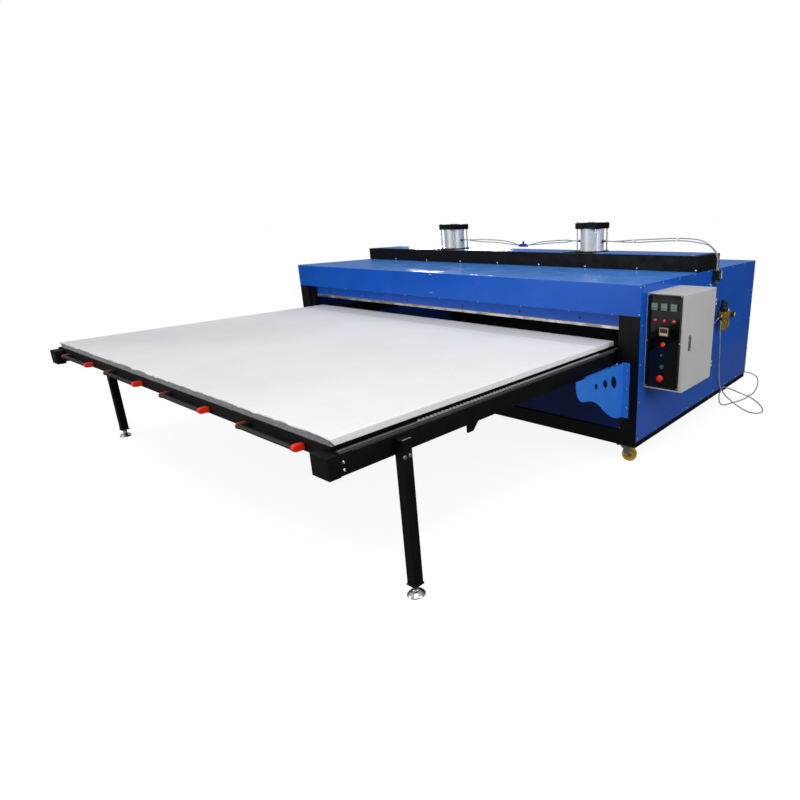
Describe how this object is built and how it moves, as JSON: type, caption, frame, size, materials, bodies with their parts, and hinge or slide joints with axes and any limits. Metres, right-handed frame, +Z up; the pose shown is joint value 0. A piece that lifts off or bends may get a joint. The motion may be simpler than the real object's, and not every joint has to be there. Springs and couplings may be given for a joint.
{
  "type": "pneumatic heat press",
  "caption": "Free-standing pneumatic sublimation press: heated platen on cylinders over a pull-out felt-covered table on rails and legs.",
  "frame": {"origin": "on the floor, under the middle of the machine's box without its hose and tubes", "axes": "+Z up; +Y from the operator towards the back of the machine, so the table pulls out along -Y; +X to the operator's right, the side of the control box"},
  "size_m": [3.9095, 4.7472, 1.485],
  "materials": {
    "blue_paint": "semi-gloss powder coat, fine orange peel",
    "black_paint": "satin black powder coat",
    "bright_steel": "turned and ground",
    "aluminium": "satin extruded",
    "felt": "white needled felt over silicone foam",
    "grey_paint": "textured light grey powder coat",
    "gloss_panel": "polished black acrylic",
    "red_plastic": "moulded",
    "green_plastic": "moulded",
    "black_plastic": "moulded",
    "brass": "passivated, satin",
    "zinc": "zinc plated",
    "amber_wheel": "cast polyurethane",
    "clear_tube": "translucent polyurethane tube"
  },
  "bodies": {
    "frame": {"base_frame": "black_paint", "head_frame": "black_paint", "front_column_left": "black_paint", "front_column_right": "black_paint", "rear_column_left": "black_paint", "rear_column_right": "black_paint", "rail_left": "black_paint", "rail_right": "black_paint", "leg_left": "black_paint", "leg_right": "black_paint", "side_panel_left": "blue_paint", "side_panel_right": "blue_paint", "rear_cover": "blue_paint", "front_hood": "blue_paint", "front_lower_panel": "blue_paint", "gusset_left": "blue_paint", "gusset_right": "blue_paint", "cylinder_left": "aluminium", "cylinder_right": "aluminium", "hose_connector": "bright_steel", "pressure_gauge": "black_plastic", "solenoid_valve": "black_plastic", "enclosure_shell": "grey_paint", "control_panel": "gloss_panel", "air_unit": "brass", "electrical_panel": "zinc", "supply_hose": "clear_tube", "supply_hose_coil": "clear_tube", "link_tube_front": "clear_tube", "link_tube_rear": "clear_tube", "valve_tube_front": "clear_tube", "valve_tube_rear": "clear_tube", "outlet_tube": "clear_tube"},
    "platen": {"heater_platen": "aluminium", "platen_casing": "blue_paint", "piston_rod_left": "bright_steel", "piston_rod_right": "bright_steel"},
    "table": {"table_frame": "black_paint", "table_pad": "felt", "handle_1": "black_plastic", "handle_2": "black_plastic", "handle_3": "black_plastic", "handle_4": "black_plastic"},
    "door": {"enclosure_door": "grey_paint"},
    "latch": {"door_latch": "zinc"},
    "stop_button": {"stop_button": "red_plastic"},
    "start_button": {"start_button": "green_plastic"},
    "mode_selector": {"mode_selector": "black_plastic"},
    "emergency_stop": {"emergency_stop": "red_plastic"},
    "regulator_knob": {"regulator_knob": "black_plastic"},
    "foot_left": {"foot_left": "bright_steel"},
    "foot_right": {"foot_right": "bright_steel"},
    "swivel_front_left": {"caster_fork_front_left": "zinc"},
    "wheel_front_left": {"caster_wheel_front_left": "amber_wheel"},
    "swivel_front_right": {"caster_fork_front_right": "zinc"},
    "wheel_front_right": {"caster_wheel_front_right": "amber_wheel"},
    "swivel_rear_left": {"caster_fork_rear_left": "zinc"},
    "wheel_rear_left": {"caster_wheel_rear_left": "amber_wheel"},
    "swivel_rear_right": {"caster_fork_rear_right": "zinc"},
    "wheel_rear_right": {"caster_wheel_rear_right": "amber_wheel"}
  },
  "joints": [
    {"name": "table_slide", "type": "slide", "parent": "frame", "child": "table", "axis": [0, 1, 0], "range_m": [0, 1.944]},
    {"name": "platen_press", "type": "slide", "parent": "frame", "child": "platen", "axis": [0, 0, -1], "range_m": [0, 0.068]},
    {"name": "door_hinge", "type": "hinge", "parent": "frame", "child": "door", "pos_m": [1.9112, 0.505, 0.809], "axis": [0, 0, 1], "range_deg": [0, 110]},
    {"name": "latch_lift", "type": "hinge", "parent": "door", "child": "latch", "pos_m": [1.91, 0.121, 0.854], "axis": [0, -1, 0], "range_deg": [0, 40]},
    {"name": "stop_button_press", "type": "slide", "parent": "frame", "child": "stop_button", "axis": [0, 1, 0], "range_m": [0, 0.003], "stiffness_N_per_m": 400},
    {"name": "start_button_press", "type": "slide", "parent": "frame", "child": "start_button", "axis": [0, 1, 0], "range_m": [0, 0.003], "stiffness_N_per_m": 400},
    {"name": "mode_selector_turn", "type": "hinge", "parent": "frame", "child": "mode_selector", "pos_m": [1.778, 0.0473, 0.733], "axis": [0, -1, 0], "range_deg": [0, 90]},
    {"name": "emergency_stop_press", "type": "slide", "parent": "frame", "child": "emergency_stop", "axis": [0, 1, 0], "range_m": [0, 0.004]},
    {"name": "regulator_turn", "type": "hinge", "parent": "frame", "child": "regulator_knob", "pos_m": [1.708, 1.248, 0.892], "axis": [0, 0, 1], "continuous": true},
    {"name": "foot_left_turn", "type": "hinge", "parent": "frame", "child": "foot_left", "pos_m": [-1.7687, -1.735, 0.02], "axis": [0, 0, 1], "continuous": true},
    {"name": "foot_right_turn", "type": "hinge", "parent": "frame", "child": "foot_right", "pos_m": [1.5167, -1.735, 0.02], "axis": [0, 0, 1], "continuous": true},
    {"name": "swivel_front_left_turn", "type": "hinge", "parent": "frame", "child": "swivel_front_left", "pos_m": [-1.798, 0.05, 0.115], "axis": [0, 0, 1], "continuous": true},
    {"name": "wheel_front_left_roll", "type": "hinge", "parent": "swivel_front_left", "child": "wheel_front_left", "pos_m": [-1.82881, 0.06437, 0.048], "axis": [-0.4226, -0.9063, 0], "continuous": true},
    {"name": "swivel_front_right_turn", "type": "hinge", "parent": "frame", "child": "swivel_front_right", "pos_m": [1.546, 0.05, 0.115], "axis": [0, 0, 1], "continuous": true},
    {"name": "wheel_front_right_roll", "type": "hinge", "parent": "swivel_front_right", "child": "wheel_front_right", "pos_m": [1.57681, 0.06437, 0.048], "axis": [-0.4226, 0.9063, 0], "continuous": true},
    {"name": "swivel_rear_left_turn", "type": "hinge", "parent": "frame", "child": "swivel_rear_left", "pos_m": [-1.726, 1.928, 0.115], "axis": [0, 0, 1], "continuous": true},
    {"name": "wheel_rear_left_roll", "type": "hinge", "parent": "swivel_rear_left", "child": "wheel_rear_left", "pos_m": [-1.75681, 1.94237, 0.048], "axis": [-0.4226, -0.9063, 0], "continuous": true},
    {"name": "swivel_rear_right_turn", "type": "hinge", "parent": "frame", "child": "swivel_rear_right", "pos_m": [1.474, 1.928, 0.115], "axis": [0, 0, 1], "continuous": true},
    {"name": "wheel_rear_right_roll", "type": "hinge", "parent": "swivel_rear_right", "child": "wheel_rear_right", "pos_m": [1.50481, 1.94237, 0.048], "axis": [-0.4226, 0.9063, 0], "continuous": true}
  ]
}
